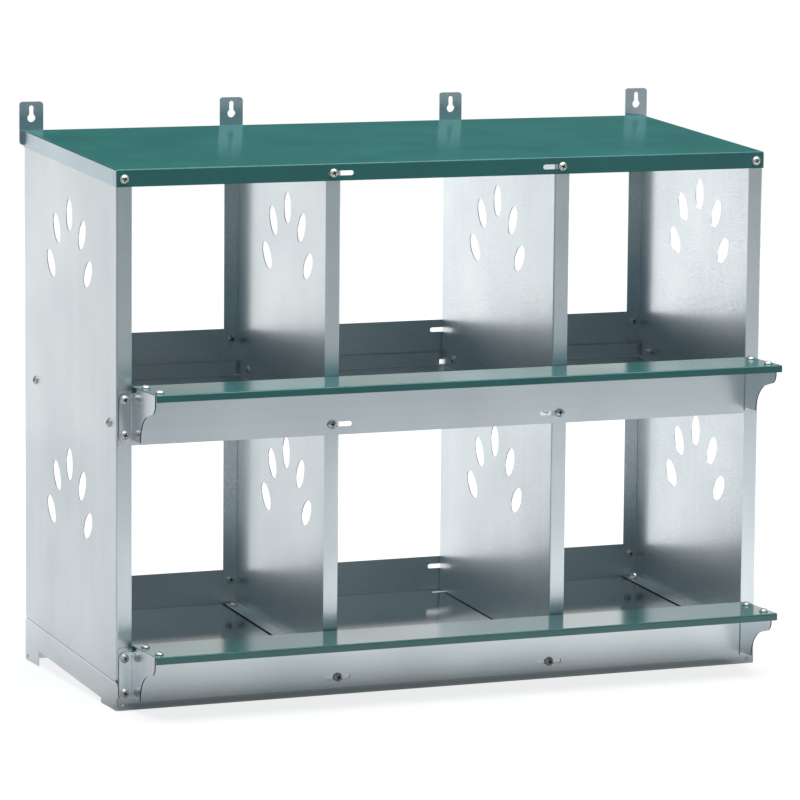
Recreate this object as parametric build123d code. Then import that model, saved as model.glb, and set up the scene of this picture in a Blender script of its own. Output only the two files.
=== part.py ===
from build123d import *
import os
from math import asin, cos, radians, sin, tan

# Six-nest chicken nesting box: two rows of three nests, folded from galvanised sheet and bolted together,
# with a green painted roof and two green perches. It stands on its base or hangs from four keyhole tabs.
# Millimetres. Pieces are drawn from the left front corner of the body: X to the right, Y to the open back,
# Z up from the ground. At the end they move so that the origin is under the middle of the whole object.

# Sheet metal
sheet = 1.0              # body, roof and perch sheet
stout_sheet = 1.5        # perch brackets, hanging tabs and corner angles
bend = 1.0               # inside radius of a fold
corner_slit = 0.8        # open joint between two walls that are folded down beside each other

# Body
width = 930.0            # over the outer faces of the two side panels
depth = 374.0            # front face of the front flanges to rear face of the rear flanges
fall_angle = 3.3         # floor, nest trays and roof fall towards the front, in degrees
floor_height = 37.0      # floor surface above the ground, at the front
tier_pitch = 339.3       # lower row of nests to upper row
tray_drop = 16.6         # tray surface below one full pitch above the floor
roof_rise = 330.8        # roof surface above one full pitch above the floor

# Side panels and dividers
panel_flange = 21.0      # flanges of a panel, measured over the sheet
flange_relief = 4.0      # cut-back of the bottom flange and height of the corner cut beside it
vent_length = 43.0
vent_width = 25.6
vent_fan = [(0.0, 0.0, 0.0), (51.3, 22.0, 28.0), (74.5, 71.5, 42.0)]   # offset from middle, drop, lean
lower_vent_drop = 61.5   # top vent of the lower fan below the tray surface
upper_vent_drop = 75.7   # top vent of the upper fan below the roof surface

# Base pan
skirt_band = 34.0        # side skirt between the feet
front_foot = 60.0
rear_foot = 56.0
slit_drop = 4.0          # top end of a corner slit below the floor surface
angle_leg = 20.0         # corner angles that close the slits
angle_height = 13.0
angle_lift = 2.0         # underside of an angle above the ground
rivet_inset = 10.0       # rivet centre from the outer corner
rivet_drop = 3.6         # rivet centre below the lower edge of the front board

# Nest trays
tray_side_lip = 25.0     # side and rear lips above the tray surface
tray_rear_lip = 20.0
tray_front_lip = 10.0    # front lip, turned down below the tray surface
tray_corner_gap = 5.0    # ends of the rear lip inside the outer face of a side lip
tray_notch_width = 42.0  # front corners cut away behind the slots of the front board
tray_notch_depth = 34.0
tray_front_room = 1.5    # tray behind the ends of the front board's screws
tray_rear_gap = 2.0      # tray in front of the rear flange
tray_screw_rise = 15.0   # screws above the tray surface
tray_front_screw = 26.5  # screws behind the front face
tray_rear_screw = 326.0

# Front boards and rear rails, one and the same plate
board_height = 74.0
board_end_gap = 2.0      # plate end inside the outer face of the body
board_corner = 3.0
hole_row_pitch = 46.0    # two rows of holes, even about the middle of the plate
board_drop = 27.4        # lower edge of the lower front board below the floor surface at the front
rail_drop = 26.0         # lower edge of the lower rear rail below the floor surface at the back

# Roof
roof_lip = 22.5          # flanges turned down all round
roof_screw_drop = 12.6   # screws below the roof surface
roof_corner_tab = 6.0    # end of the front and rear flanges, folded round the corner

# Perches
perch_reach = 103.0      # front edge in front of the body
perch_back = 8.0         # rear edge in front of the body
perch_lip = 9.5          # front and rear flanges turned down
perch_end_gap = 18.0     # end of the perch inside the outer face of the body
perch_rise = 4.7         # perch surface above the top edge of the board
perch_rear_screw = 31.0  # screws in front of the body
perch_front_screw = 83.0

# Perch brackets
bracket_outer_gap = 3.0  # flange edge inside the outer face of the body
bracket_plate_gap = 20.0 # plate face inside the outer face of the body
bracket_margin = 10.0    # lower end of the flange below its lower screw
bracket_corner = 8.0
bracket_nose = 90.0      # plate in front of the board, at the top
bracket_foot = 33.0      # plate in front of the board, at the bottom
bracket_foot_lift = 4.0  # lower edge of the plate above the lower end of the flange
bracket_hollow = 40.0    # radius of the hollow part of the front edge
bracket_hollow_turn = 75.0   # degrees that the hollow part turns
bracket_round = 14.0     # radius of the rounded part above it
bracket_notch = 21.0     # cut-away behind the top flange, in front of the board
bracket_notch_corner = 5.0
bracket_notch_room = 1.0 # room under the rear flange of the perch
bracket_top_flange = 18.0

# Hanging tabs
tab_width = 34.0
tab_length = 58.5
tab_corner = 5.0
tab_screw_margin = 7.5   # screw above the lower end of the tab
keyhole_drop = 22.2      # centre of the round opening below the top of the tab
keyhole_diameter = 11.2
keyhole_slot = 6.1
keyhole_slot_drop = 8.2  # centre of the upper end of the slot below the top of the tab

# Fasteners
screw_diameter = 6.0
screw_length = 12.0
screw_head_diameter = 12.0
screw_head_height = 4.4
screw_edge_height = 1.2  # straight rim of the head
screw_tip_chamfer = 0.6
recess_span = 6.6        # cross recess
recess_width = 1.7
recess_depth = 2.4
hole_room = 0.5          # holes and slots over the screw diameter
nut_flats = 10.0
nut_height = 5.0
nut_chamfer = 0.5
nut_room = 0.2           # nut bore over the screw diameter
slot_length = 36.0       # slots that let a divider be fitted either way round
rivet_diameter = 3.2
rivet_room = 0.2
rivet_head_diameter = 6.2
rivet_head_height = 1.5
rivet_tail_diameter = 4.8
rivet_tail_height = 1.6
floor_screw_inset = 15.0 # floor screws behind the front face and in front of the rear face

# Worked out from the sizes above
fall = tan(radians(fall_angle))
outer_bend = sheet + bend
stout_bend = stout_sheet + bend
bay = (width - 4 * sheet) / 3
hole_diameter = screw_diameter + hole_room
row_heights = ((board_height - hole_row_pitch) / 2, (board_height + hole_row_pitch) / 2)
tiers = {"lower": 0, "upper": 1}
over = 5.0               # cutters run this far past the sheet


def floor_surface(y):
    return floor_height + fall * y


def tray_surface(y):
    return floor_surface(y) + tier_pitch - tray_drop


def roof_surface(y):
    return floor_surface(y) + tier_pitch + roof_rise


def board_foot(tier):
    return floor_height - board_drop + tiers[tier] * tier_pitch


def rail_foot(tier):
    return floor_surface(depth) - rail_drop + tiers[tier] * tier_pitch


def perch_top(tier):
    return board_foot(tier) + board_height + perch_rise


# The four upright sheets: the outer face of the fold, and the way its flanges turn
uprights = {
    "left_side_panel": (0.0, 1),
    "left_divider": (2 * sheet + bay, -1),
    "right_divider": (2 * sheet + 2 * bay, 1),
    "right_side_panel": (width, -1),
}
flange_middles = [face + turn * panel_flange / 2 for face, turn in uprights.values()]
end_middles = [flange_middles[0], flange_middles[-1]]
divider_middles = flange_middles[1:-1]
divider_faces = [uprights["left_divider"][0], uprights["right_divider"][0]]

tray_front = screw_length - sheet + tray_front_room
roof_front_screw = roof_surface(0) - roof_screw_drop
roof_rear_screw = roof_surface(depth) - roof_screw_drop


# Which way the head of a screw or rivet looks
head_front = Rot(90, 0, 0)
head_rear = Rot(-90, 0, 0)
head_left = Rot(0, -90, 0)
head_right = Rot(0, 90, 0)
head_up_sloped = Rot(fall_angle, 0, 0)


def block(x0, x1, y0, y1, z0, z1):
    """A plain block between two corners."""
    return Pos(x0, y0, z0) * Box(x1 - x0, y1 - y0, z1 - z0, align=(Align.MIN, Align.MIN, Align.MIN))


def rectangle(x0, x1, y0, y1):
    """A flat rectangle between two corners."""
    return Pos((x0 + x1) / 2, (y0 + y1) / 2) * Rectangle(x1 - x0, y1 - y0)


def slab(points, x0, x1):
    """An outline in Y and Z, carried along X."""
    return extrude(Plane.YZ.offset(x0) * make_face(Polyline(*points, close=True)), x1 - x0)


def sloped_slab(surface, low, high, y0, y1, x0, x1):
    """A slab whose lower and upper faces follow a sloped surface at two distances from it."""
    points = [(y0, surface(y0) + low), (y1, surface(y1) + low)]
    points += [(y1, surface(y1) + high), (y0, surface(y0) + high)]
    return slab(points, x0, x1)


def punch_y(shape, x, y, z, length):
    """A flat shape pushed through along Y."""
    return extrude(Plane(origin=(x, y, z), x_dir=(1, 0, 0), z_dir=(0, 1, 0)) * shape, length)


def screw_hole():
    return Circle(hole_diameter / 2)


def screw_slot():
    return SlotOverall(slot_length, hole_diameter)


def tilted_punch(shape, x, y, z):
    """A flat shape pushed through the sloped floor, square to it."""
    plane = Plane(Location((x, y, z), (fall_angle, 0, 0)))
    return extrude(plane * shape, 2 * over, both=True)


def long_edge(part, x, z_order):
    """The lowest or highest long edge that runs from front to back at a given X."""
    edges = part.edges().filter_by(lambda edge: abs(edge.center().X - x) < 0.01 and edge.length > depth / 2)
    return edges.sort_by(Axis.Z)[z_order]


def vent_cutters():
    """Two fans of five oval vents, each mirrored about the middle of the panel."""
    fan_tops = (tray_surface(0) - lower_vent_drop, roof_surface(0) - upper_vent_drop)
    cutters = []
    for top in fan_tops:
        for offset, drop, lean in vent_fan:
            for side in (1,) if offset == 0 else (1, -1):
                oval = Rot(0, 0, -side * lean) * Ellipse(vent_width / 2, vent_length / 2)
                plane = Plane.YZ.offset(-over) * Pos(depth / 2 + side * offset, top - drop)
                cutters.append(extrude(plane * oval, sheet + 2 * over))
    return cutters


def folded_panel():
    """An upright sheet: web, front and rear flanges, and a bottom flange that stands on the floor."""
    outline = rectangle(0, panel_flange, 0, depth)
    outline = fillet(outline.vertices().group_by(Axis.X)[0], outer_bend)
    hollow = rectangle(sheet, panel_flange + over, sheet, depth - sheet)
    hollow = fillet(hollow.vertices().group_by(Axis.X)[0], bend)
    panel = extrude(outline - hollow, roof_surface(depth))
    top = roof_surface(0) - sheet - bend - floor_surface(0)
    panel &= sloped_slab(floor_surface, 0, top, -over, depth + over, -over, panel_flange + over)
    for y0, y1 in ((-over, flange_relief), (depth - flange_relief, depth + over)):
        panel -= sloped_slab(floor_surface, -over, flange_relief, y0, y1, -over, panel_flange + over)
    panel += sloped_slab(floor_surface, 0, sheet, flange_relief, depth - flange_relief, 0, panel_flange)
    panel = fillet(long_edge(panel, sheet, 0), bend)
    panel = fillet(long_edge(panel, 0, 0), outer_bend)

    middle = panel_flange / 2
    front_rows = [board_foot(tier) + row for tier in tiers for row in row_heights]
    front_holes = [z for z in front_rows if z > floor_height] + [roof_front_screw]
    rear_holes = [rail_foot(tier) + row_heights[1] for tier in tiers] + [roof_rear_screw]
    cutters = vent_cutters()
    cutters += [punch_y(screw_hole(), middle, -over, z, 2 * over) for z in front_holes]
    cutters += [punch_y(screw_hole(), middle, depth - over, z, 2 * over) for z in rear_holes]
    for y in (floor_screw_inset, depth - floor_screw_inset):
        cutters.append(tilted_punch(screw_hole(), middle, y, floor_surface(y)))
    for y in (tray_front_screw, tray_rear_screw):
        hole = Plane.YZ.offset(-over) * Pos(y, tray_surface(y) + tray_screw_rise) * screw_hole()
        cutters.append(extrude(hole, 2 * over))
    return panel - cutters


def base_pan():
    """Sloped floor with aprons and side skirts folded down; the skirts are cut away between the feet."""
    outside = slab([(0, 0), (depth, 0), (depth, floor_surface(depth)), (0, floor_height)], 0, width)
    outside = fillet(outside.faces().sort_by(Axis.Z)[-1].edges(), outer_bend)
    rear = depth - sheet
    inside = slab([(sheet, -over), (rear, -over), (rear, floor_surface(rear) - sheet),
                   (sheet, floor_surface(sheet) - sheet)], sheet, width - sheet)
    inside = fillet(inside.faces().sort_by(Axis.Z)[-1].edges(), bend)
    notch = slab([(front_foot, -over), (depth - rear_foot, -over),
                  (depth - rear_foot, floor_surface(depth - rear_foot) - skirt_band),
                  (front_foot, floor_surface(front_foot) - skirt_band)], -over, width + over)
    aprons = block(sheet, width - sheet, -over, depth + over, -over, floor_surface(depth) + over)
    pan = outside - inside - (notch - aprons)

    cutters = []
    for y0, slit_top in ((0, floor_height), (depth - sheet, floor_surface(depth))):
        for x0 in (sheet, width - sheet - corner_slit):
            cutters.append(block(x0, x0 + corner_slit, y0 - over, y0 + over, -over, slit_top - slit_drop))
    low_row = row_heights[0]
    for y, z in ((0, board_foot("lower") + low_row), (depth, rail_foot("lower") + low_row)):
        cutters += [punch_y(screw_hole(), x, y - over, z, 2 * over) for x in end_middles + divider_faces]
    for y in (floor_screw_inset, depth - floor_screw_inset):
        cutters += [tilted_punch(screw_hole(), x, y, floor_surface(y)) for x in end_middles]
        cutters += [tilted_punch(screw_slot(), x, y, floor_surface(y)) for x in divider_faces]
    cutters += [place * rivet_drill() for place in rivet_places()]
    return pan - cutters


def corner_angle():
    """A short angle for the front left corner, its legs along X and Y, drilled for two rivets."""
    leg_end = sheet + angle_leg
    top = angle_lift + angle_height
    angle = block(sheet, leg_end, sheet, leg_end, angle_lift, top)
    inner = sheet + stout_sheet
    angle -= block(inner, leg_end + over, inner, leg_end + over, angle_lift - over, top + over)
    return angle - [place * rivet_drill() for place in rivet_places()[:2]]


def rivet_places():
    """Rivets through the aprons and skirts, two to a corner; the first two are front left."""
    facing = {"left": head_left, "right": head_right, "front": head_front, "rear": head_rear}
    z = board_foot("lower") - rivet_drop
    places = []
    for across, end in (("left", 0), ("right", 1)):
        for along, back in (("front", 0), ("rear", 1)):
            x = (rivet_inset, width - rivet_inset)[end]
            y = (rivet_inset, depth - rivet_inset)[back]
            places.append(Pos(x, back * depth, z) * facing[along])
            places.append(Pos(end * width, y, z) * facing[across])
    return places


def dome(radius, rim, top):
    """The rounded top of a head, from its rim to the axis, as one arc centred on the axis."""
    rise = top - rim
    arc_radius = (rise ** 2 + radius ** 2) / (2 * rise)
    half_way = asin(radius / arc_radius) / 2
    middle = (arc_radius * sin(half_way), top - arc_radius * (1 - cos(half_way)))
    return ThreePointArc((radius, rim), middle, (0, top))


def rivet_drill():
    return Cylinder((rivet_diameter + rivet_room) / 2, 4 * over)


def rivet():
    """Blind rivet along Z with its head from Z = 0 up, a shank through two sheets and a swollen tail."""
    head_radius = rivet_head_diameter / 2
    tail_radius = rivet_tail_diameter / 2
    tail_top = -(sheet + stout_sheet)
    tail_end = tail_top - rivet_tail_height
    radius = rivet_diameter / 2
    outline = Polyline((0, rivet_head_height), (0, tail_end), (radius, tail_end), (tail_radius, tail_top),
                       (radius, tail_top), (radius, 0), (head_radius, 0))
    return revolve(Plane.XZ * make_face([dome(head_radius, 0, rivet_head_height), outline]), Axis.Z)


def nest_tray(x0):
    """A nest floor for one bay: side and rear lips turned up, front lip turned down, corners notched."""
    length = (depth - sheet - tray_rear_gap - tray_front) / cos(radians(fall_angle))
    sides = rectangle(0, bay, -sheet, tray_side_lip)
    sides = fillet(sides.vertices().group_by(Axis.Y)[0], outer_bend)
    between = rectangle(sheet, bay - sheet, 0, tray_side_lip + over)
    sides -= fillet(between.vertices().group_by(Axis.Y)[0], bend)
    rear = length - sheet
    ends = make_face(Polyline((0, 0), (rear, 0), (rear, tray_rear_lip), (length, tray_rear_lip),
                              (length, -sheet), (sheet, -sheet), (sheet, -tray_front_lip),
                              (0, -tray_front_lip), close=True))
    for fold, radius in (((0, 0), outer_bend), ((rear, 0), bend),
                         ((length, -sheet), outer_bend), ((sheet, -sheet), bend)):
        ends = fillet(ends.vertices().sort_by_distance(fold)[0], radius)
    tray = Pos(0, outer_bend, 0) * extrude(Plane.XZ * sides, 2 * outer_bend - length)
    tray += extrude(Plane.YZ.offset(tray_corner_gap) * ends, bay - 2 * tray_corner_gap)
    for x in (outer_bend, bay - outer_bend - tray_notch_width):
        tray -= block(x, x + tray_notch_width, -over, tray_notch_depth, -tray_front_lip - over, over)
    tray = Pos(x0, tray_front, tray_surface(tray_front)) * Rot(fall_angle, 0, 0) * tray
    cutters = []
    for y in (tray_front_screw, tray_rear_screw):
        hole = Plane.YZ.offset(x0 - over) * Pos(y, tray_surface(y) + tray_screw_rise) * screw_hole()
        cutters.append(extrude(hole, bay + 2 * over))
    return tray - cutters


def board(y, foot):
    """A plain plate: two holes at each end, two slots at each divider. Its front face is at Y = y."""
    length = width - 2 * board_end_gap
    plate = RectangleRounded(length, board_height, board_corner)
    plate = punch_y(plate, width / 2, y, foot + board_height / 2, sheet)
    cutters = []
    for row in row_heights:
        cutters += [punch_y(screw_hole(), x, y - over, foot + row, 2 * over) for x in end_middles]
        cutters += [punch_y(screw_slot(), x, y - over, foot + row, 2 * over) for x in divider_faces]
    return plate - cutters


def roof():
    """A shallow lid over the panels with flanges turned down all round."""
    outside = sloped_slab(roof_surface, -roof_lip, 0, -sheet, depth + sheet, -sheet, width + sheet)
    outside = fillet(outside.faces().sort_by(Axis.Z)[-1].edges(), outer_bend)
    inside = sloped_slab(roof_surface, -roof_lip - over, -sheet, 0, depth, 0, width)
    inside = fillet(inside.faces().sort_by(Axis.Z)[-1].edges(), bend)
    lid = outside - inside
    cutters = []
    for y0 in (roof_corner_tab, depth - roof_corner_tab - corner_slit):
        for x0 in (-sheet - over, width - over):
            slit = (roof_surface, -roof_lip - over, -outer_bend - bend, y0, y0 + corner_slit)
            cutters.append(sloped_slab(*slit, x0, x0 + sheet + 2 * over))
    for y, z in ((-sheet, roof_front_screw), (depth, roof_rear_screw)):
        cutters += [punch_y(screw_hole(), x, y - over, z, sheet + 2 * over) for x in end_middles]
        cutters += [punch_y(screw_slot(), x, y - over, z, sheet + 2 * over) for x in divider_faces]
    return lid - cutters


def perch_screw_places(tier):
    """Screws through the perch into the top flanges of its two brackets."""
    inset = bracket_plate_gap + bracket_top_flange / 2
    fronts = (perch_rear_screw, perch_front_screw)
    return [Pos(x, -y, perch_top(tier)) for x in (inset, width - inset) for y in fronts]


def perch(tier):
    """A long channel, open below and at its ends."""
    top = perch_top(tier)
    ends = (perch_end_gap, width - perch_end_gap)
    outside = block(*ends, -perch_reach, -perch_back, top - perch_lip, top)
    long_tops = outside.faces().sort_by(Axis.Z)[-1].edges().filter_by(Axis.X)
    outside = fillet(long_tops, outer_bend)
    inside = block(*ends, -perch_reach + sheet, -perch_back - sheet, top - perch_lip - over, top - sheet)
    long_tops = inside.faces().sort_by(Axis.Z)[-1].edges().filter_by(Axis.X)
    inside = fillet(long_tops, bend)
    drill = Cylinder(hole_diameter / 2, 2 * over)
    return outside - inside - [place * drill for place in perch_screw_places(tier)]


def bracket_outline(tier):
    """Side view of a bracket, in Y and Z: flange, notch, top, rounded nose, hollow front edge and foot."""
    face = -sheet
    low = board_foot(tier) + row_heights[0] - bracket_margin
    top = perch_top(tier) - sheet
    notch = perch_top(tier) - perch_lip - bracket_notch_room
    foot = low + bracket_foot_lift
    corner = (face - bracket_notch, notch)
    hollow = CenterArc((face - bracket_foot - bracket_hollow, foot), bracket_hollow, 0, bracket_hollow_turn)
    hollow_end = hollow @ 1
    nose = face - bracket_nose
    lead = Vector(-1, tan(radians(90 - bracket_hollow_turn)))
    knee = (nose, hollow_end.Y + (hollow_end.X - nose) * lead.Y)
    tip = FilletPolyline((hollow_end.X, hollow_end.Y), knee, (nose, top), radius=bracket_round)
    back = Polyline((nose, top), (corner[0], top), (corner[0], notch + bracket_notch_corner))
    turn = RadiusArc((corner[0], notch + bracket_notch_corner), (corner[0] + bracket_notch_corner, notch),
                     -bracket_notch_corner)
    rest = Polyline((corner[0] + bracket_notch_corner, notch), (face, notch), (face, low),
                    (face - stout_bend, low), (face - stout_bend, foot), (face - bracket_foot, foot))
    return make_face([hollow, tip, back, turn, rest])


def left_bracket(tier):
    """A perch bracket: flange on the board, plate going forward, top flange turned in under the perch."""
    face = -sheet
    low = board_foot(tier) + row_heights[0] - bracket_margin
    top = perch_top(tier) - sheet
    plate_end = bracket_plate_gap + stout_sheet
    length = bracket_nose + over
    section = rectangle(bracket_outer_gap, plate_end, face - length, face)
    section = fillet(section.vertices().sort_by(lambda v: v.X + v.Y)[-1], stout_bend)
    hollow = rectangle(bracket_outer_gap - over, bracket_plate_gap,
                       face - length - over, face - stout_sheet)
    hollow = fillet(hollow.vertices().sort_by(lambda v: v.X + v.Y)[-1], bend)
    folded = Pos(0, 0, low - over) * extrude(section - hollow, top - low + 2 * over)
    folded &= extrude(Plane.YZ * bracket_outline(tier), plate_end)
    corners = folded.edges().filter_by(Axis.Y)
    corners = corners.filter_by(lambda edge: abs(edge.center().X - bracket_outer_gap) < 0.01)
    folded = fillet(corners, bracket_corner)

    back = face - bracket_notch
    shoulder = top - stout_bend
    shelf_end = bracket_plate_gap + bracket_top_flange
    folded -= block(bracket_plate_gap - over, plate_end + over, face - length, back, shoulder, top + over)
    shelf = rectangle(bracket_plate_gap, shelf_end, shoulder, top)
    shelf = fillet(shelf.vertices().sort_by(lambda v: v.Y - v.X)[-1], stout_bend)
    under = rectangle(plate_end, shelf_end + over, shoulder - over, top - stout_sheet)
    under = fillet(under.vertices().sort_by(lambda v: v.Y - v.X)[-1], bend)
    folded += extrude(Plane.XZ.offset(-back) * (shelf - under), bracket_nose - bracket_notch)
    rows = [board_foot(tier) + row for row in row_heights]
    cutters = [punch_y(screw_hole(), end_middles[0], -over, z, over) for z in rows]
    cutters += [place * Cylinder(hole_diameter / 2, 2 * over) for place in perch_screw_places(tier)]
    return folded - cutters


def hanging_tab(x):
    """A flat tab behind the roof with a keyhole above and one screw below."""
    foot = roof_rear_screw - tab_screw_margin
    top = foot + tab_length
    y = depth + sheet
    tab = punch_y(RectangleRounded(tab_width, tab_length, tab_corner), x, y, (foot + top) / 2, stout_sheet)
    slot_end = top - keyhole_slot_drop
    slot_start = top - keyhole_drop
    cutters = [
        punch_y(Circle(keyhole_diameter / 2), x, y - over, slot_start, 2 * over),
        punch_y(Circle(keyhole_slot / 2), x, y - over, slot_end, 2 * over),
        block(x - keyhole_slot / 2, x + keyhole_slot / 2, y - over, y + over, slot_start, slot_end),
        punch_y(screw_hole(), x, y - over, roof_rear_screw, 2 * over),
    ]
    return tab - cutters


def screw():
    """Pan-head screw along Z: head from Z = 0 up, shank down, cross recess in the head."""
    head_radius = screw_head_diameter / 2
    radius = screw_diameter / 2
    crown = dome(head_radius, screw_edge_height, screw_head_height)
    tip = radius - screw_tip_chamfer
    outline = Polyline((0, screw_head_height), (0, -screw_length), (tip, -screw_length),
                       (radius, screw_tip_chamfer - screw_length), (radius, 0), (head_radius, 0),
                       (head_radius, screw_edge_height))
    body = revolve(Plane.XZ * make_face([crown, outline]), Axis.Z)
    arm = Box(recess_span, recess_width, 2 * recess_depth)
    return body - Pos(0, 0, screw_head_height) * (arm + Rot(0, 0, 90) * arm)


def nut():
    """Hexagon nut along Z, from Z = 0 down, with chamfered corners."""
    hexagon = extrude(RegularPolygon(nut_flats / 2, 6, major_radius=False), -nut_height)
    corner = nut_flats / 3 ** 0.5
    turned = Pos(0, 0, -nut_height / 2) * Cylinder(corner, nut_height)
    turned = chamfer(turned.edges().filter_by(GeomType.CIRCLE), nut_chamfer)
    return hexagon & turned - Cylinder((screw_diameter + nut_room) / 2, 4 * nut_height)


def fastener_sets():
    """Every screw, by joint: where its head bears, which way it looks, and the sheet it clamps."""
    front, rear, middle = -sheet, depth - sheet, flange_middles
    clamp = {"plain": 2 * sheet, "bracket": 2 * sheet + stout_sheet, "tab": 2 * sheet + stout_sheet}
    sets = {}
    sets["roof_front"] = [(Pos(x, front, roof_front_screw) * head_front, clamp["plain"]) for x in middle]
    sets["roof_rear"] = [(Pos(x, rear, roof_rear_screw) * head_front, clamp["tab"]) for x in middle]
    sets["bracket"] = []
    sets["front_board"] = []
    sets["rear_rail"] = []
    sets["perch"] = []
    for tier in tiers:
        for row in row_heights:
            z = board_foot(tier) + row
            on_apron = z < floor_height
            inner = divider_faces if on_apron else divider_middles
            outer = [Pos(x, front - stout_sheet, z) * head_front for x in end_middles]
            sets["bracket"] += [(place, clamp["bracket"]) for place in outer]
            sets["front_board"] += [(Pos(x, front, z) * head_front, clamp["plain"]) for x in inner]
        sets["rear_rail"] += [(Pos(x, rear, rail_foot(tier) + row_heights[1]) * head_front, clamp["plain"])
                              for x in middle]
        sets["perch"] += [(place, sheet + stout_sheet) for place in perch_screw_places(tier)]
    sets["rear_rail"] += [(Pos(x, rear, rail_foot("lower") + row_heights[0]) * head_front, clamp["plain"])
                          for x in end_middles + divider_faces]
    sets["tray"] = []
    for y in (tray_front_screw, tray_rear_screw):
        z = tray_surface(y) + tray_screw_rise
        sets["tray"] += [(Pos(0, y, z) * head_left, 2 * sheet), (Pos(width, y, z) * head_right, 2 * sheet)]
        for column in (1, 2):
            lip = column * (bay + sheet) - sheet
            sets["tray"].append((Pos(lip, y, z) * head_left, 3 * sheet))
    sets["floor"] = []
    for y in (floor_screw_inset, depth - floor_screw_inset):
        seat = Pos(0, y, floor_surface(y)) * head_up_sloped * Pos(0, 0, sheet)
        sets["floor"] += [(Pos(x, 0, 0) * seat, 2 * sheet) for x in middle]
    return sets


def build_nodes():
    """Every piece under its own name."""
    nodes = {"base_pan": base_pan()}
    angle = corner_angle()
    for side, turned in (("left", angle), ("right", mirror(angle, Plane.YZ.offset(width / 2)))):
        nodes[f"corner_angle_front_{side}"] = turned
        nodes[f"corner_angle_rear_{side}"] = mirror(turned, Plane.XZ.offset(-depth / 2))
    nodes["base_rivets"] = [place * rivet() for place in rivet_places()]
    panel = folded_panel()
    turned = {1: panel, -1: mirror(panel, Plane.YZ)}
    for name, (face, turn) in uprights.items():
        nodes[name] = Pos(face, 0, 0) * turned[turn]
    for column, name in enumerate(("left_nest_tray", "middle_nest_tray", "right_nest_tray")):
        nodes[name] = nest_tray(sheet + column * (bay + sheet))
    for tier in tiers:
        nodes[f"{tier}_front_board"] = board(-sheet, board_foot(tier))
        nodes[f"{tier}_rear_rail"] = board(depth, rail_foot(tier))
        nodes[f"{tier}_left_bracket"] = left_bracket(tier)
        nodes[f"{tier}_right_bracket"] = mirror(left_bracket(tier), Plane.YZ.offset(width / 2))
        nodes[f"{tier}_perch"] = perch(tier)
    nodes["roof"] = roof()
    for number, x in enumerate(flange_middles, 1):
        nodes[f"hanging_tab_{number}"] = hanging_tab(x)
    for name, places in fastener_sets().items():
        nodes[f"{name}_screws"] = [place * screw() for place, _ in places]
        nodes[f"{name}_nuts"] = [place * Pos(0, 0, -clamped) * nut() for place, clamped in places]
    return nodes


# The origin goes on the ground under the middle of the whole object, perches and rear screw ends included
rear_reach = depth - sheet + screw_length
to_origin = Pos(-width / 2, (perch_reach - rear_reach) / 2, 0)

os.makedirs("parts", exist_ok=True)
for name, shape in build_nodes().items():
    solids = shape if isinstance(shape, list) else shape.solids()
    placed = [to_origin * solid for solid in solids]
    export_step(placed[0] if len(placed) == 1 else Compound(children=placed), f"parts/{name}.step")
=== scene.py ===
from math import cos, pi, radians, sin

import bpy
import numpy as np
from mathutils import Matrix, Vector


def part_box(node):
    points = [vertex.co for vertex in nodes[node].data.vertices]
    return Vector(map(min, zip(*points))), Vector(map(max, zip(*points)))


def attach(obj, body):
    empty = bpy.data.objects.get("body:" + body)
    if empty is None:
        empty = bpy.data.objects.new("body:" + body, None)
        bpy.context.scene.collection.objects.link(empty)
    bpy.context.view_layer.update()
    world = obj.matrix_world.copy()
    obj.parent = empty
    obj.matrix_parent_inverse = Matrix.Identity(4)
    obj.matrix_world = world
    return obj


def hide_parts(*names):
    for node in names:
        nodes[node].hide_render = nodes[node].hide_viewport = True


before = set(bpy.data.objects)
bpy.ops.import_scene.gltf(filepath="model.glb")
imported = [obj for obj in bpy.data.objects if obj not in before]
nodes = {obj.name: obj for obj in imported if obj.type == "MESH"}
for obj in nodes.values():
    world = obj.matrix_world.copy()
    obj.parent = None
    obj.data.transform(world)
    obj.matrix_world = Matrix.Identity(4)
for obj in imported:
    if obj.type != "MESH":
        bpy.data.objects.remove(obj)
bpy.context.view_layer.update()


# Base pan and corner angles
# The floor of the lower nests, folded down into aprons and skirts from one zinc-coated sheet.
# Small angles are riveted inside its four corners. The zinc is a bright, slightly blurred mirror.
zinc_dark = (0.68, 0.735, 0.76, 1)
zinc_light = (0.77, 0.825, 0.845, 1)
# Painted shade: the floors' faces that look up are darkened towards this colour.
zinc_worn = (0.255, 0.280, 0.285, 1)
floor_shade_share = 0.92             # share of the painted shade colour on the floors that hens stand on
shade_slope = (0.6, 0.9)       # upward part of the normal over which the painted shade sets in
smooth_blur = (0.09, 0.15)
upright_blur = (0.19, 0.26)
dull_blur = (0.27, 0.34)
zinc_metallic = 0.97          # the rest is the dull film on the zinc
roll_line_pitch = 0.0009      # fine lines that the rolling mill leaves
roll_line_length = 0.12
roll_line_depth = 0.00002
roll_line_strength = 0.25
grain_size = 0.0006           # tiny bright and dull crystals
streak_pitch = 0.011          # wider streaks of the zinc bath
streak_length = 0.55
streak_weight = 0.25          # against the clouds
cloud_size = 0.16             # handling marks
mark_range = (0.45, 0.80)     # from the dark to the light zinc
ripple_size = 0.32            # the sheet is never quite flat
ripple_height = 0.0008
noise_span = (0.3, 0.7)       # most of a soft noise lies in it
tray_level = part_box("left_nest_tray")[0].z
tier_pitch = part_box("upper_front_board")[0].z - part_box("lower_front_board")[0].z
axis_number = {"x": 0, "y": 1, "z": 2}


def add(tree, kind, settings=None, **inputs):
    """A shader node: settings are its own properties, inputs by name or _number are constants or sockets."""
    made = tree.nodes.new(kind)
    for key, value in (settings or {}).items():
        setattr(made, key, value)
    for key, value in inputs.items():
        socket = made.inputs[int(key[1:])] if key[0] == "_" else made.inputs[key]
        if isinstance(value, bpy.types.NodeSocket):
            tree.links.new(value, socket)
        else:
            socket.default_value = value
    return made


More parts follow.
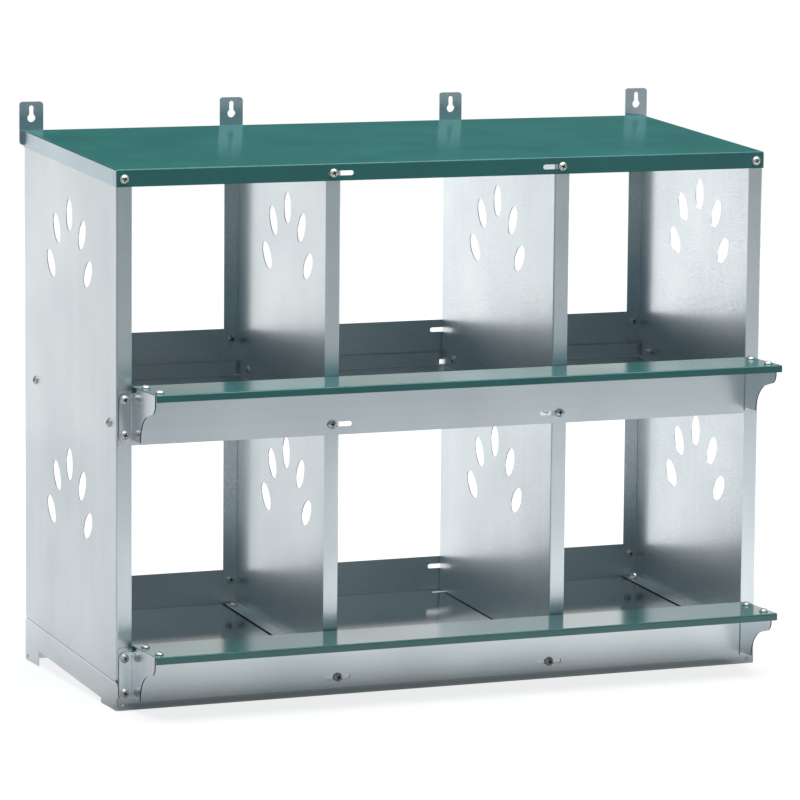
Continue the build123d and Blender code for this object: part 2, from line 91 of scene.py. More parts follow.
def new_finish(name):
    """An empty finish, with its shader and the piece's own coordinates."""
    finish = bpy.data.materials.new(name)
    finish.use_nodes = True
    tree = finish.node_tree
    place = add(tree, "ShaderNodeTexCoord").outputs["Object"]
    return finish, tree, tree.nodes["Principled BSDF"], place


def noise(tree, place, size, detail=2.0):
    """Soft noise whose features are about as large as size, one length or one for each axis."""
    sizes = size if isinstance(size, (tuple, list)) else (size,) * 3
    spread = add(tree, "ShaderNodeMapping", Vector=place, Scale=[1 / s for s in sizes])
    return add(tree, "ShaderNodeTexNoise", Vector=spread.outputs[0], Scale=1.0, Detail=detail).outputs[0]


def fit_range(tree, value, low, high, source=noise_span):
    """Value carried from its source span to low and high, with no overshoot."""
    span = {"From Min": source[0], "From Max": source[1], "To Min": low, "To Max": high}
    return add(tree, "ShaderNodeMapRange", Value=value, **span).outputs[0]


def blend_colours(tree, share, first, second, way="MIX"):
    settings = {"data_type": "RGBA", "blend_type": way}
    return add(tree, "ShaderNodeMix", settings, _0=share, _6=first, _7=second).outputs[2]


def calculate(tree, operation, *values):
    """One step of arithmetic on constants or sockets."""
    inputs = {f"_{number}": value for number, value in enumerate(values)}
    return add(tree, "ShaderNodeMath", {"operation": operation}, **inputs).outputs[0]


def split(tree, vector):
    """X, Y and Z of a vector."""
    return add(tree, "ShaderNodeSeparateXYZ", Vector=vector).outputs


def facing(tree):
    """X, Y and Z of the way that a face looks."""
    return split(tree, add(tree, "ShaderNodeNewGeometry").outputs["True Normal"])


def along(axis, length, pitch):
    """Feature sizes that are long on one axis and narrow on the other two."""
    sizes = [pitch] * 3
    sizes[axis_number[axis]] = length
    return sizes


def zinc_surface(tree, place, rolled_along, blur, bow=0.0, worn=0.0):
    """Colour, roughness and normal of zinc-coated sheet whose rolling lines run along one axis. Faces that
    look left or right may bow by a cosine of the height, one wave to a tier of nests, and faces that look up
    may be darkened with painted shade."""
    lines = noise(tree, place, along(rolled_along, roll_line_length, roll_line_pitch), 3)
    streaks = noise(tree, place, along(rolled_along, streak_length, streak_pitch))
    clouds = noise(tree, place, cloud_size)
    marks = calculate(tree, "MULTIPLY_ADD", streaks, streak_weight, clouds)
    colour = blend_colours(tree, fit_range(tree, marks, 0.0, 1.0, mark_range), zinc_dark, zinc_light)
    if worn:
        shaded_up = fit_range(tree, facing(tree)[2], 0.0, worn, shade_slope)
        colour = blend_colours(tree, shaded_up, colour, zinc_worn)
    roughness = fit_range(tree, noise(tree, place, grain_size, 1.0), *blur)
    ripple = add(tree, "ShaderNodeBump", Height=noise(tree, place, ripple_size, 1.0), Strength=1.0,
                 Distance=ripple_height)
    if bow:
        turn = calculate(tree, "MULTIPLY_ADD", split(tree, place)[2], 2 * pi / tier_pitch,
                         -2 * pi * tray_level / tier_pitch)
        broad = calculate(tree, "ABSOLUTE", facing(tree)[0])
        ripple = add(tree, "ShaderNodeBump", Height=calculate(tree, "COSINE", turn), Strength=1.0,
                     Distance=calculate(tree, "MULTIPLY", broad, bow), Normal=ripple.outputs[0])
    grain = add(tree, "ShaderNodeBump", Height=lines, Strength=roll_line_strength, Distance=roll_line_depth,
                Normal=ripple.outputs[0])
    return colour, roughness, grain.outputs[0]


def dress(tree, shader, colour, roughness, normal):
    """Links a surface to its shader."""
    tree.links.new(colour, shader.inputs["Base Color"])
    tree.links.new(roughness, shader.inputs["Roughness"])
    tree.links.new(normal, shader.inputs["Normal"])


def galvanised(name, rolled_along, blur, **extras):
    """Bare zinc-coated sheet."""
    finish, tree, shader, place = new_finish(name)
    dress(tree, shader, *zinc_surface(tree, place, rolled_along, blur, **extras))
    shader.inputs["Metallic"].default_value = zinc_metallic
    return finish


def coat(finish, *names):
    """Gives the named solids one finish."""
    for name in names:
        nodes[name].data.materials.clear()
        nodes[name].data.materials.append(finish)


zinc_floor = galvanised("galvanised_floor", "x", smooth_blur, worn=floor_shade_share)
zinc_upright = galvanised("galvanised_upright", "z", upright_blur)
corner_angles = [f"corner_angle_{end}_{side}" for end in ("front", "rear") for side in ("left", "right")]
coat(zinc_floor, "base_pan")
coat(zinc_upright, *corner_angles)


# Blind rivets
# Steel rivets with a bright zinc plate, two to a corner of the base pan.
plate_colour = (0.87, 0.85, 0.81, 1)
plate_dull = (0.68, 0.65, 0.61, 1)
plate_blur = (0.42, 0.28)     # from the dull patches to the bright ones
plate_mark_size = 0.003
plate_metallic = 0.65         # the rest is the white film on the plate


def bright_plate(name):
    """Zinc-plated steel: smooth and a little warm, with small dull patches from the plating barrel."""
    finish, tree, shader, place = new_finish(name)
    patches = noise(tree, place, plate_mark_size, 3)
    colour = blend_colours(tree, fit_range(tree, patches, 0.0, 1.0), plate_dull, plate_colour)
    tree.links.new(colour, shader.inputs["Base Color"])
    tree.links.new(fit_range(tree, patches, *plate_blur), shader.inputs["Roughness"])
    shader.inputs["Metallic"].default_value = plate_metallic
    return finish


fastener_plate = bright_plate("bright_zinc_plate")
coat(fastener_plate, "base_rivets")


# Side panels and dividers
# Four upright sheets with flanges turned at the front, back and foot, and fans of oval vents. Their
# rolling lines run upright. The foot flange's free edge is painted near-black, and a strip of the floor
# along
# it is painted dark: painted shade for the shadow gap under that edge.
sheet_bow = 0.0032            # each sheet bends away a little between the trays
wall_blur = (0.12, 0.50)
# Painted shade: near-black for cut edges and the strips beside them where shadow gaps fall.
painted_edge_shade = (0.030, 0.031, 0.033, 1)
painted_shade_roughness = 0.85
cut_reach = (0.0007, 0.0010)  # how far from its free edge a flange is painted dark
seam_shadow_reach = (0.0024, 0.0030)  # how far the painted shadow reaches on the floor
upward_from = 0.8             # upward part of the normal on the floor
pan_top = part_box("base_pan")[1].z
foot_top = (pan_top + 0.003, pan_top + 0.005)  # the foot flange lies lower than this
wall_free_end = {"left_side_panel": 1, "left_divider": 0, "right_divider": 1, "right_side_panel": 0}


def blend_values(tree, share, first, second):
    return add(tree, "ShaderNodeMix", {"data_type": "FLOAT"}, _0=share, _2=first, _3=second).outputs[0]


def overlay(finish, colour, share_for):
    """Puts painted shade of one dull colour on a metal finish, by the share that a function builds in its
    tree.
    """
    tree = finish.node_tree
    share = share_for(tree)
    base, rough, metal = (tree.nodes["Principled BSDF"].inputs[name]
                          for name in ("Base Color", "Roughness", "Metallic"))
    clean_metal = metal.links[0].from_socket if metal.is_linked else metal.default_value
    tree.links.new(blend_colours(tree, share, base.links[0].from_socket, colour), base)
    tree.links.new(blend_values(tree, share, rough.links[0].from_socket, painted_shade_roughness), rough)
    tree.links.new(blend_values(tree, share, clean_metal, 0.0), metal)
    return finish


def place_in(tree):
    """X, Y and Z of the piece's own coordinates."""
    return split(tree, add(tree, "ShaderNodeTexCoord").outputs["Object"])


def close_to(tree, plane_x, reach):
    """One within reach of a plane across X, and zero beyond it."""
    away = calculate(tree, "ABSOLUTE", calculate(tree, "SUBTRACT", place_in(tree)[0], plane_x))
    return fit_range(tree, away, 1.0, 0.0, reach)


def foot_edge(free_x):
    """Share of painted shade on a wall: one at the flange's free edge, near the foot."""
    def share_for(tree):
        low = fit_range(tree, place_in(tree)[2], 1.0, 0.0, foot_top)
        return calculate(tree, "MULTIPLY", close_to(tree, free_x, cut_reach), low)
    return share_for


def floor_seam(free_x):
    """Share of painted shadow on the floor: one along the flange's free edge, on the face that looks up."""
    def share_for(tree):
        upward = calculate(tree, "GREATER_THAN", facing(tree)[2], upward_from)
        return calculate(tree, "MULTIPLY", close_to(tree, free_x, seam_shadow_reach), upward)
    return share_for


for wall, end in wall_free_end.items():
    free_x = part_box(wall)[end].x
    zinc_wall = galvanised(f"galvanised_{wall}", "z", wall_blur, bow=sheet_bow)
    coat(overlay(zinc_wall, painted_edge_shade, foot_edge(free_x)), wall)
    overlay(zinc_floor, painted_edge_shade, floor_seam(free_x))


# Nest trays
# The floors of the upper nests, one to a bay, screwed to the walls through their side lips.
zinc_along_y = galvanised("galvanised_along_y", "y", dull_blur, worn=floor_shade_share)
coat(zinc_along_y, "left_nest_tray", "middle_nest_tray", "right_nest_tray")


# Front boards and rear rails
# Four equal plates, slotted so that a divider can be fitted either way round, with lines along their length.
# Their edges and the walls of their slots are painted near-black, as painted shade for the shadow gaps at
# them.
tiers = ("lower", "upper")
turned_away = 0.5             # part of the normal below which a face is turned away from an axis


def plate_rim(tree):
    """Share of painted shade: one on faces that look neither to the front nor to the back."""
    return calculate(tree, "LESS_THAN", calculate(tree, "ABSOLUTE", facing(tree)[1]), turned_away)


zinc_along_x = overlay(galvanised("galvanised_along_x", "x", dull_blur), painted_edge_shade, plate_rim)
coat(zinc_along_x, *(f"{tier}_{plate}" for tier in tiers for plate in ("front_board", "rear_rail")))


# Perch brackets
# Stouter zinc-coated sheet: a flange on the board, a shaped plate and a flange under the perch. The plate's
# curved front edge and the edges of the flange on the board are painted near-black as painted shade.
bracket_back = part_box("upper_left_bracket")[1].y
plate_back = bracket_back - 0.004      # the plate's edge ends ahead of the bend
flange_front = bracket_back - 0.0016   # the flange on the board lies behind this
straight_up = 0.9             # part of the normal on the flange under the perch


def plate_edge(tree):
    """Share of painted shade: one ahead of the board's flange, on faces that look neither sideways nor
    straight up, and within that flange's thickness, on faces that look neither to the front nor to the back."""
    sideways, ahead, upright = (calculate(tree, "ABSOLUTE", part) for part in facing(tree))
    depth = place_in(tree)[1]
    rim = calculate(tree, "MULTIPLY", calculate(tree, "LESS_THAN", sideways, turned_away),
                    calculate(tree, "LESS_THAN", upright, straight_up))
    plate_cut = calculate(tree, "MULTIPLY", rim, calculate(tree, "LESS_THAN", depth, plate_back))
    flange_cut = calculate(tree, "MULTIPLY", calculate(tree, "LESS_THAN", ahead, turned_away),
                           calculate(tree, "GREATER_THAN", depth, flange_front))
    return calculate(tree, "ADD", plate_cut, flange_cut)


zinc_bracket = overlay(galvanised("galvanised_bracket", "y", upright_blur), painted_edge_shade, plate_edge)
coat(zinc_bracket, *(f"{tier}_{side}_bracket" for tier in tiers for side in ("left", "right")))


# Perches
# Long channels of sheet with a smooth green coat, screwed down on their brackets.
# Painted shade: the same green paint as the roof, made a little darker on the perches.
perch_shaded_deep = (0.028, 0.190, 0.176, 1)
perch_shaded_bright = (0.034, 0.226, 0.209, 1)
paint_cloud_size = 0.09
paint_peel_size = 0.0022      # the coat flows out in tiny swells
paint_peel_height = 0.000012
paint_peel_strength = 0.6
perch_blur = (0.15, 0.20)
paint_gloss = 0.32            # share of a clear gloss over the colour
paint_gloss_blur = 0.16


def paint_surface(tree, place, deep, bright, blur):
    """Colour, roughness and normal of a glossy coat whose colour clouds from deep to bright."""
    clouds = noise(tree, place, paint_cloud_size, 3)
    colour = blend_colours(tree, fit_range(tree, clouds, 0.0, 1.0), deep, bright)
    peel = add(tree, "ShaderNodeBump", Height=noise(tree, place, paint_peel_size),
               Strength=paint_peel_strength, Distance=paint_peel_height)
    return colour, fit_range(tree, clouds, *blur), peel.outputs[0]


def green_paint(name):
    """The perches' green coat: the roof's green made a little darker as painted shade."""
    finish, tree, shader, place = new_finish(name)
    dress(tree, shader, *paint_surface(tree, place, perch_shaded_deep, perch_shaded_bright, perch_blur))
    shader.inputs["Coat Weight"].default_value = paint_gloss
    shader.inputs["Coat Roughness"].default_value = paint_gloss_blur
    return finish


coat(green_paint("green_paint"), *(f"{tier}_perch" for tier in tiers))


# Roof
# A shallow lid of green coated sheet. Its side flanges show bare zinc, darker and bluer than the walls.
roof_deep = (0.038, 0.203, 0.187, 1)
roof_bright = (0.046, 0.239, 0.221, 1)
roof_blur = (0.14, 0.19)
flange_tint = (0.72, 0.80, 0.83, 1)
roof_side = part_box("roof")[1].x
bare_from = (roof_side - 0.0009, roof_side - 0.0006)  # within the thickness of the side flanges


def roof_coat(name):
    """Green paint on top, front and back; bare zinc on the outer faces of the left and right flanges."""
    finish, tree, shader, place = new_finish(name)
    paint, paint_rough, paint_normal = paint_surface(tree, place, roof_deep, roof_bright, roof_blur)
    bright_zinc, zinc_rough, zinc_normal = zinc_surface(tree, place, "y", dull_blur)
    zinc = blend_colours(tree, 1.0, bright_zinc, flange_tint, "MULTIPLY")
    bare = fit_range(tree, calculate(tree, "ABSOLUTE", split(tree, place)[0]), 0.0, 1.0, bare_from)
    normal = add(tree, "ShaderNodeMix", {"data_type": "VECTOR"}, _0=bare, _4=paint_normal, _5=zinc_normal)
    dress(tree, shader, blend_colours(tree, bare, paint, zinc),
          blend_values(tree, bare, paint_rough, zinc_rough), normal.outputs[1])
    tree.links.new(bare, shader.inputs["Metallic"])
    return finish


coat(roof_coat("green_roof_bare_sides"), "roof")


# Hanging tabs
# Flat zinc-coated tabs behind the roof, with a keyhole for a wall screw.
coat(zinc_upright, *(f"hanging_tab_{number}" for number in range(1, 5)))


# Screws and nuts
# Pan-head machine screws with a cross recess and a rolled thread, and hexagon nuts, all with a bright zinc
# plate. Each sits where its plain solid is and is turned by an angle of its own, as a hand leaves it.
mm = 0.001
head_radius, head_height, head_edge = 6.0 * mm, 4.4 * mm, 1.2 * mm
head_bevel = 0.2 * mm         # at the lower rim of the head
recess_half_width, recess_reach, recess_end = 0.85 * mm, 3.05 * mm, 3.35 * mm
recess_depth, recess_end_depth = 2.4 * mm, 0.9 * mm
recess_wall = 0.10 * mm       # half the width of a sloped wall
recess_core = 1.2 * mm        # inside this radius the four arms are one hollow
recess_columns = [0, 0, 0, 0, 1, 1, 1, 0, 0, 0]  # of the points on a quarter ring, those in an arm
widest_arm = radians(36)
head_rings = np.array([0.55, 1.0, 1.45, 1.9, 2.5, 3.05, 3.35, 4.0, 4.6, 5.1, 5.5, 5.8, 5.95, 6.0]) * mm
shank_radius, shank_length, tip_chamfer = 2.98 * mm, 12.0 * mm, 0.6 * mm
thread_pitch, thread_depth = 1.0 * mm, 0.6 * mm
thread_steps = 4              # rings to each turn of the thread
nut_flat, nut_height = 5.0 * mm, 5.0 * mm
nut_bore, nut_mouth, nut_land = 3.1 * mm, 3.5 * mm, 4.75 * mm
nut_chamfer = radians(30)
nut_columns = 48
apart = 15 * mm               # solids lie farther apart than this, and the points of one solid closer
golden_turn = pi * (3 - 5 ** 0.5)
oblique = (0.36, 0.48, 0.8)   # a direction that no fastener takes
crease = radians(32)          # edges sharper than this stay sharp
# Painted shade: a dark brown put in the recess of each head, where shade falls.
recess_shade_colour = (0.075, 0.055, 0.045, 1)


def lattice(rows, columns, closed=False):
    """Corners of the quads on a grid that closes round its columns, and round its rows too if closed."""
    row = np.arange(rows if closed else rows - 1)[:, None]
    column = np.arange(columns)[None, :]
    here, below = row * columns, (row + 1) % rows * columns
    beside = (column + 1) % columns
    corners = (here + column, below + column, below + beside, here + beside)
    return np.stack(corners, axis=-1).reshape(-1, 4)


def spokes(radius):
    """Angles of the points on each ring of a screw head: the middle and both edges of every arm of the
    recess, whose half angle is the arc sine of its half width over the radius, and two even steps up to
    each diagonal."""
    arm = np.minimum(np.arcsin(np.minimum(recess_half_width / radius, 1.0)), widest_arm)[:, None]
    slope = recess_wall / radius[:, None]
    outer = arm + slope
    spread = outer + (pi / 4 - outer) * np.array([1 / 3, 2 / 3])
    half = np.hstack([arm - slope, outer, spread])
    diagonal = np.full_like(arm, -pi / 4)
    quarter = np.hstack([diagonal, -half[:, ::-1], np.zeros_like(arm), half])
    return np.hstack([quarter + turn * pi / 2 for turn in range(4)])


def screw_form():
    """A screw along Z with its head above zero: points, quads, triangles and the share of painted shade at
    each point, one in the recess. Rings run from the middle of the head over its rim, under it and down the
    shank.
    The head is a cap of a ball, and the recess sinks into it along the arms. The thread is a triangle wave
    of the height plus a turn for each pitch."""
    angle = spokes(head_rings)
    columns = angle.shape[1]
    ring = head_rings[:, None]
    rise = head_height - head_edge
    dome_radius = (head_radius ** 2 + rise ** 2) / (2 * rise)
    crown = head_height - dome_radius + np.sqrt(dome_radius ** 2 - ring ** 2)
    depth = np.interp(ring, [0, recess_reach, recess_end], [recess_depth, recess_end_depth, 0])
    sunk = np.where(ring < recess_core, 1, np.tile(recess_columns, 4)) * (ring < recess_end)

    rim_z = np.array([head_bevel, 0.0, 0.0])[:, None]
    rim_r = np.array([head_radius, head_radius - head_bevel, shank_radius])[:, None]
    turn = angle[-1:]
    thread_step = thread_pitch / thread_steps
    down = np.arange(thread_step, shank_length - tip_chamfer / 2, thread_step)[:, None]
    wave = np.abs(2 * ((down / thread_pitch + turn / (2 * pi)) % 1.0) - 1)
    tapered = shank_radius - np.maximum(down - (shank_length - tip_chamfer), 0)
    thread_r = np.minimum(shank_radius - thread_depth * wave, tapered)

    level = np.ones((1, columns))
    radius = np.vstack([ring * level, rim_r * level, thread_r, (shank_radius - thread_depth) * level])
    z = np.vstack([crown - sunk * depth, rim_z * level, -down * level, -shank_length * level])
    around = np.vstack([angle, np.repeat(turn, len(radius) - len(angle), 0)])
    rings = np.stack([radius * np.cos(around), radius * np.sin(around), z], axis=-1).reshape(-1, 3)
    points = np.vstack([rings, (0, 0, head_height - recess_depth), (0, 0, -shank_length)])
    first = np.arange(columns)
    last = first + len(rings) - columns
    top = np.stack([np.full(columns, len(rings)), first, np.roll(first, -1)], axis=-1)
    foot = np.stack([np.full(columns, len(rings) + 1), np.roll(last, -1), last], axis=-1)
    recess_shade_share = np.zeros(len(points))
    recess_shade_share[:sunk.size] = sunk.reshape(-1)
    recess_shade_share[len(rings)] = 1
    return points, lattice(len(radius), columns), np.vstack([top, foot]), recess_shade_share


def nut_form():
    """A nut along Z from zero down, given as a screw is: rings run from the bore over its upper mouth,
    across the hexagon and back in below. The hexagon's radius is its flat over the cosine of the angle from
    the middle of that flat, and the corners fall away from the land at the chamfer's angle."""
    angle = np.arange(nut_columns) * 2 * pi / nut_columns
    hexagon = nut_flat / np.cos((angle + pi / 6) % (pi / 3) - pi / 6)
    fall = np.maximum(hexagon - nut_land, 0) * np.tan(nut_chamfer)
    level = np.ones(nut_columns)
    step = nut_mouth - nut_bore
    upper = [(nut_bore * level, -step * level), (nut_mouth * level, 0 * level),
             (nut_land * level, 0 * level), (hexagon, -fall)]
    lower = [(r, -nut_height - z) for r, z in reversed(upper)]
    radius, z = (np.array(rows) for rows in zip(*(upper + lower)))
    points = np.stack([radius * np.cos(angle), radius * np.sin(angle), z], axis=-1).reshape(-1, 3)
    no_triangles = np.empty((0, 3), dtype=int)
    return points, lattice(len(radius), nut_columns, closed=True), no_triangles, np.zeros(len(points))


def split_apart(points):
    """Points in groups, parted wherever a wide gap runs right across them on any axis."""
    for axis in range(3):
        ordered = points[np.argsort(points[:, axis])]
        cuts = np.nonzero(np.diff(ordered[:, axis]) > apart)[0] + 1
        if len(cuts):
            return [group for part in np.split(ordered, cuts) for group in split_apart(part)]
    return [points]


def solids_of(name):
    """The points of each separate solid in a node."""
    mesh = nodes[name].data
    points = np.empty(3 * len(mesh.vertices))
    mesh.vertices.foreach_get("co", points)
    return split_apart(points.reshape(-1, 3))


def axes_about(axis, turn):
    """Three directions in columns, the last along the axis and the others turned about it."""
    ahead = np.array(axis) / np.linalg.norm(axis)
    aside = np.cross(ahead, oblique)
    aside /= np.linalg.norm(aside)
    other = np.cross(ahead, aside)
    first = cos(turn) * aside + sin(turn) * other
    second = cos(turn) * other - sin(turn) * aside
    return np.stack([first, second, ahead], axis=-1)


def repeated(faces, shifts):
    """The same faces once for each shift of their points' numbers."""
    return (faces + shifts[:, None, None]).reshape(-1, faces.shape[1]).tolist()


def fit_forms(name, form, node, axis_for, reach, finish):
    """One piece of like fasteners for a node: each form goes on the axis of one of its solids, with the
    form's lowest point, reach below its zero, at that solid's end."""
    points, quads, triangles, recess_shade_share = form
    solids = solids_of(node)
    placed = []
    for number, solid in enumerate(solids):
        axis = axis_for(solid)
        square = axes_about(axis, 0.0)
        own = solid @ square
        seat = (own.min(0) + own.max(0)) / 2
        seat[2] = own[:, 2].min() + reach
        placed.append(points @ axes_about(axis, number * golden_turn).T + square @ seat)
    shifts = np.arange(len(solids)) * len(points)
    faces = repeated(quads, shifts) + repeated(triangles, shifts)
    mesh = bpy.data.meshes.new(name)
    mesh.from_pydata(np.vstack(placed).tolist(), [], faces)
    mesh.attributes.new("recess", "FLOAT", "POINT").data.foreach_set("value", np.tile(recess_shade_share, len(solids)))
    mesh.polygons.foreach_set("use_smooth", np.ones(len(faces), dtype=bool))
    mesh.set_sharp_from_angle(angle=crease)
    mesh.materials.append(finish)
    piece = bpy.data.objects.new(name, mesh)
    bpy.context.scene.collection.objects.link(piece)
    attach(piece, "root")
    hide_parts(node)


def recess_share(tree):
    """Share of painted shade, from the points' own attribute: one in the recess of a head."""
    return add(tree, "ShaderNodeAttribute", {"attribute_name": "recess"}).outputs["Fac"]


def looks_front(solid):
    return (0, -1, 0)


def looks_up(solid):
    return (0, 0, 1)


def looks_outward(solid):
    """Heads on the right side panel look right, and all others through a wall look left."""
    return (1, 0, 0) if solid[:, 0].max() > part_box("right_side_panel")[1].x else (-1, 0, 0)


floor_rows = [solid.mean(0) for solid in solids_of("floor_screws")]
nearest = min(floor_rows, key=lambda place: place[1])
farthest = max(floor_rows, key=lambda place: place[1])
floor_rise = (farthest[2] - nearest[2]) / (farthest[1] - nearest[1])


def looks_up_sloped(solid):
    """Square to the floor, which rises to the back."""
    return (0, -floor_rise, 1)


screw_finish = overlay(bright_plate("bright_zinc_plate_shaded_recess"), recess_shade_colour, recess_share)
screw, nut = screw_form(), nut_form()
joints = {
    "roof_front": looks_front,
    "roof_rear": looks_front,
    "bracket": looks_front,
    "front_board": looks_front,
    "rear_rail": looks_front,
    "perch": looks_up,
    "tray": looks_outward,
    "floor": looks_up_sloped,
}
for joint, axis_for in joints.items():
    fit_forms(f"{joint}_machine_screws", screw, f"{joint}_screws", axis_for, shank_length, screw_finish)
    fit_forms(f"{joint}_hexagon_nuts", nut, f"{joint}_nuts", axis_for, nut_height, fastener_plate)


# Ground
# A plain pale sheet under the box. The camera sees it white, with a soft shadow that fades out a step
# away. In the metal it also glows a little, as a sheet does that lamps outside the view reach.
ground_left, ground_right = -6.0, 6.0
ground_front, ground_back = -7.0, 6.0
ground_white = (0.36, 0.36, 0.36, 1)
ground_roughness = 0.9
plain_white = (1, 1, 1, 1)
shadow_reach = (0.75, 1.9)    # distance from the middle of the box over which its shadow fades
camera_glow = (0.80, 1.0)     # in the shadow and beyond it
# Painted light in the metal's reflections of the ground: the low level at -0.16, just in front of the box,
# is a painted shadow.
mirror_glow = {-6.0: 0.49, -4.9: 0.35, -4.3: 0.12, -3.6: 0.08, -2.6: 0.34, -1.5: 0.53, -0.5: 0.92,
               -0.16: 0.08, 0.0: 0.48, 0.6: 0.74, 3.0: 1.20}  # by place from front to back
right_gain = 0.35             # more glow for each metre to the right
least_gain = 0.60             # and no less than this far to the left


def staged_sheet(name, corners, finish):
    """One flat rectangle that belongs to the studio."""
    mesh = bpy.data.meshes.new(name)
    mesh.from_pydata(corners, [], [(0, 1, 2, 3)])
    mesh.materials.append(finish)
    sheet = bpy.data.objects.new(name, mesh)
    bpy.context.scene.collection.objects.link(sheet)
    return sheet


def follow(tree, value, levels):
    """Levels by value, with straight lines between the places that are given."""
    low, high = min(levels), max(levels)
    ramp = add(tree, "ShaderNodeValToRGB", Fac=fit_range(tree, value, 0.0, 1.0, (low, high)))
    stops = ramp.color_ramp.elements
    stops.remove(stops[1])
    for number, (place, level) in enumerate(sorted(levels.items())):
        stop = stops.new((place - low) / (high - low)) if number else stops[0]
        stop.position = (place - low) / (high - low)
        stop.color = (level, level, level, 1)
    return ramp.outputs[0]


paper, sheet_tree, paper_shader, paper_place = new_finish("pale_ground")
paper_shader.inputs["Base Color"].default_value = ground_white
paper_shader.inputs["Roughness"].default_value = ground_roughness
paper_shader.inputs["Specular IOR Level"].default_value = 0.0
paper_shader.inputs["Emission Color"].default_value = plain_white
ground_x, ground_y = split(sheet_tree, paper_place)[:2]
distance = add(sheet_tree, "ShaderNodeVectorMath", {"operation": "LENGTH"}, _0=paper_place).outputs["Value"]
to_camera = fit_range(sheet_tree, distance, *camera_glow, shadow_reach)
rising = calculate(sheet_tree, "MULTIPLY_ADD", ground_x, right_gain, 1.0)
to_metal = calculate(sheet_tree, "MULTIPLY", follow(sheet_tree, ground_y, mirror_glow),
                     calculate(sheet_tree, "MAXIMUM", rising, least_gain))
ray = add(sheet_tree, "ShaderNodeLightPath")
in_metal = calculate(sheet_tree, "MULTIPLY", ray.outputs["Is Glossy Ray"], to_metal)
glow = calculate(sheet_tree, "MULTIPLY_ADD", ray.outputs["Is Camera Ray"], to_camera, in_metal)
sheet_tree.links.new(glow, paper_shader.inputs["Emission Strength"])
staged_sheet("ground", [(ground_left, ground_front, 0), (ground_right, ground_front, 0),
                        (ground_right, ground_back, 0), (ground_left, ground_back, 0)], paper)


# Backdrop
# A low card a step behind the box that glows white, unevenly from left to right, as painted light: no lamp
# lights it and it shows only in the metal's reflections. It ends below the roof's line of sight, so the roof
# mirrors the dim room above it. The camera looks past it into the white room.
card_left, card_right = -5.0, 5.0
card_place = 2.0
card_height = 1.15
card_fade = (0.74, 0.94)      # height over which the white fades into the room, at the middle
card_fade_slope = 0.23        # the fade is higher to the left
card_fade_level = 0.35        # and level from here to the right
card_dim = 0.04               # share of the white that is left above the fade
card_light = {-1.5: 0.76, -1.3: 0.82, -1.0: 1.10, -0.7: 1.30, -0.4: 1.36, -0.25: 1.20,
              -0.05: 0.85, 0.3: 0.80, 0.5: 1.02, 0.9: 1.20, 1.3: 1.40, 1.8: 0.85}  # from left to right

card, card_tree, card_shader, card_at = new_finish("glowing_card_seen_in_reflections")
card_shader.inputs["Base Color"].default_value = (0, 0, 0, 1)
card_shader.inputs["Specular IOR Level"].default_value = 0.0
card_shader.inputs["Emission Color"].default_value = plain_white
card_x, _, card_z = split(card_tree, card_at)
sloping = calculate(card_tree, "MINIMUM", card_x, card_fade_level)
level = calculate(card_tree, "MULTIPLY_ADD", sloping, card_fade_slope, card_z)
card_strength = calculate(card_tree, "MULTIPLY", fit_range(card_tree, level, 1.0, card_dim, card_fade),
                          follow(card_tree, card_x, card_light))
card_tree.links.new(card_strength, card_shader.inputs["Emission Strength"])
backdrop = staged_sheet("backdrop", [(card_left, card_place, 0), (card_right, card_place, 0),
                                     (card_right, card_place, card_height),
                                     (card_left, card_place, card_height)], card)
backdrop.visible_camera = False
backdrop.visible_diffuse = False
backdrop.visible_shadow = False


# Studio
# A dim room, white to the camera, with one large soft box overhead.
room_back = (0.035, 0.048, 0.055, 1)
room_front_left = (0.155, 0.235, 0.28, 1)
room_front_right = (0.10, 0.15, 0.18, 1)
room_high = (0.56, 0.64, 0.675, 1)
high_from = (0.175, 0.39)     # sine of the elevation where a light wall begins
room_sides = (-0.40, 0.35)    # from the left of the room to its right
room_turn = (-0.25, 0.25)     # from the front of the room to its back
lamp_power = 92
lamp_sides = (3.4, 3.0)
lamp_place = Vector((0.1, -0.1, 2.8))
lamp_target = Vector((0, 0.1, 0.4))

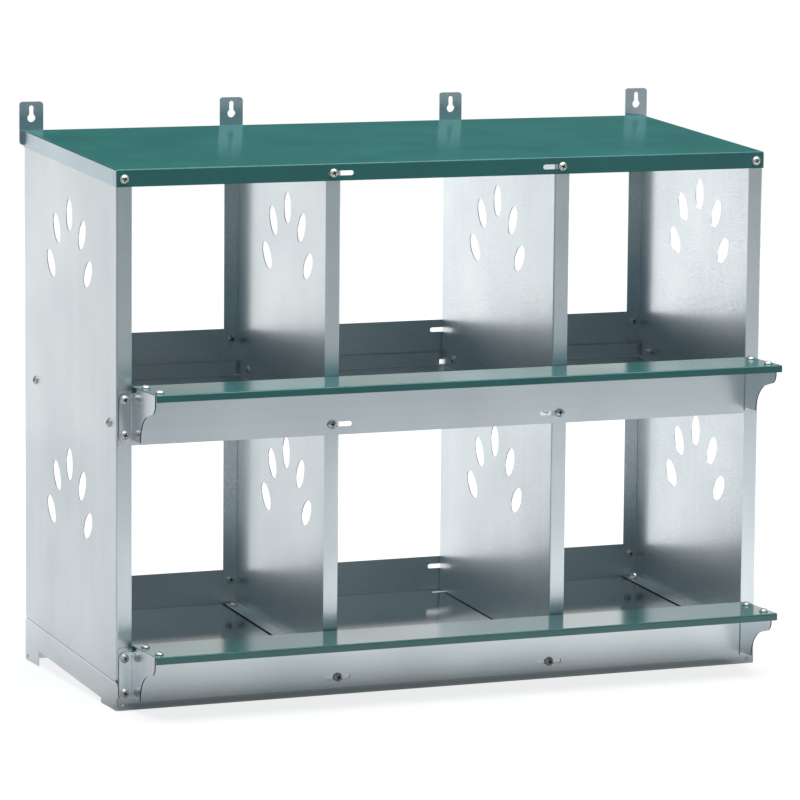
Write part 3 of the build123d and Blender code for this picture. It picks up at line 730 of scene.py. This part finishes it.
world = bpy.data.worlds.new("studio")
world.use_nodes = True
bpy.context.scene.world = world
sky = world.node_tree
east, north, height = split(sky, add(sky, "ShaderNodeTexCoord").outputs["Generated"])
across = fit_range(sky, east, 0.0, 1.0, room_sides)
turned = fit_range(sky, north, 0.0, 1.0, room_turn)
risen = fit_range(sky, height, 0.0, 1.0, high_from)
sky_ray = add(sky, "ShaderNodeLightPath")
lit_wall = calculate(sky, "MULTIPLY", risen, sky_ray.outputs["Is Glossy Ray"])
room_low = blend_colours(sky, across, room_front_left, room_front_right)
room_front = blend_colours(sky, lit_wall, room_low, room_high)
room = blend_colours(sky, turned, room_front, room_back)
seen = blend_colours(sky, sky_ray.outputs["Is Camera Ray"], room, plain_white)
sky.links.new(seen, sky.nodes["Background"].inputs["Color"])

lamp = bpy.data.lights.new("overhead_soft_box", "AREA")
lamp.energy = lamp_power
lamp.shape = "RECTANGLE"
lamp.size, lamp.size_y = lamp_sides
soft_box = bpy.data.objects.new("overhead_soft_box", lamp)
soft_box.location = lamp_place
soft_box.rotation_euler = (lamp_target - lamp_place).to_track_quat("-Z", "Y").to_euler()
bpy.context.scene.collection.objects.link(soft_box)


# Camera
# Set from points on the photograph: a long lens, a little above the roof and to the left.
image_side = 800.0
focal_length = 4610.89        # in pixels of an 800 pixel frame
sensor = 36.0
camera_reach = 100.0
camera_place = (-2.42940, -5.70460, 1.23707)
camera_turn = radians(23.002)
camera_dip = radians(7.971)
camera_roll = radians(0.499)

ahead = Vector((sin(camera_turn) * cos(camera_dip), cos(camera_turn) * cos(camera_dip), -sin(camera_dip)))
right = Vector((cos(camera_turn), -sin(camera_turn), 0))
up = right.cross(ahead)
level_right = right * cos(camera_roll) + up * sin(camera_roll)
level_up = up * cos(camera_roll) - right * sin(camera_roll)
camera = bpy.data.objects.new("camera", bpy.data.cameras.new("camera"))
camera.data.sensor_width = sensor
camera.data.lens = focal_length * sensor / image_side
camera.data.clip_end = camera_reach
camera_axes = Matrix((level_right, level_up, -ahead)).transposed()
camera.matrix_world = Matrix.Translation(camera_place) @ camera_axes.to_4x4()
bpy.context.scene.collection.objects.link(camera)
bpy.context.scene.camera = camera
bpy.context.scene.view_settings.view_transform = "Standard"
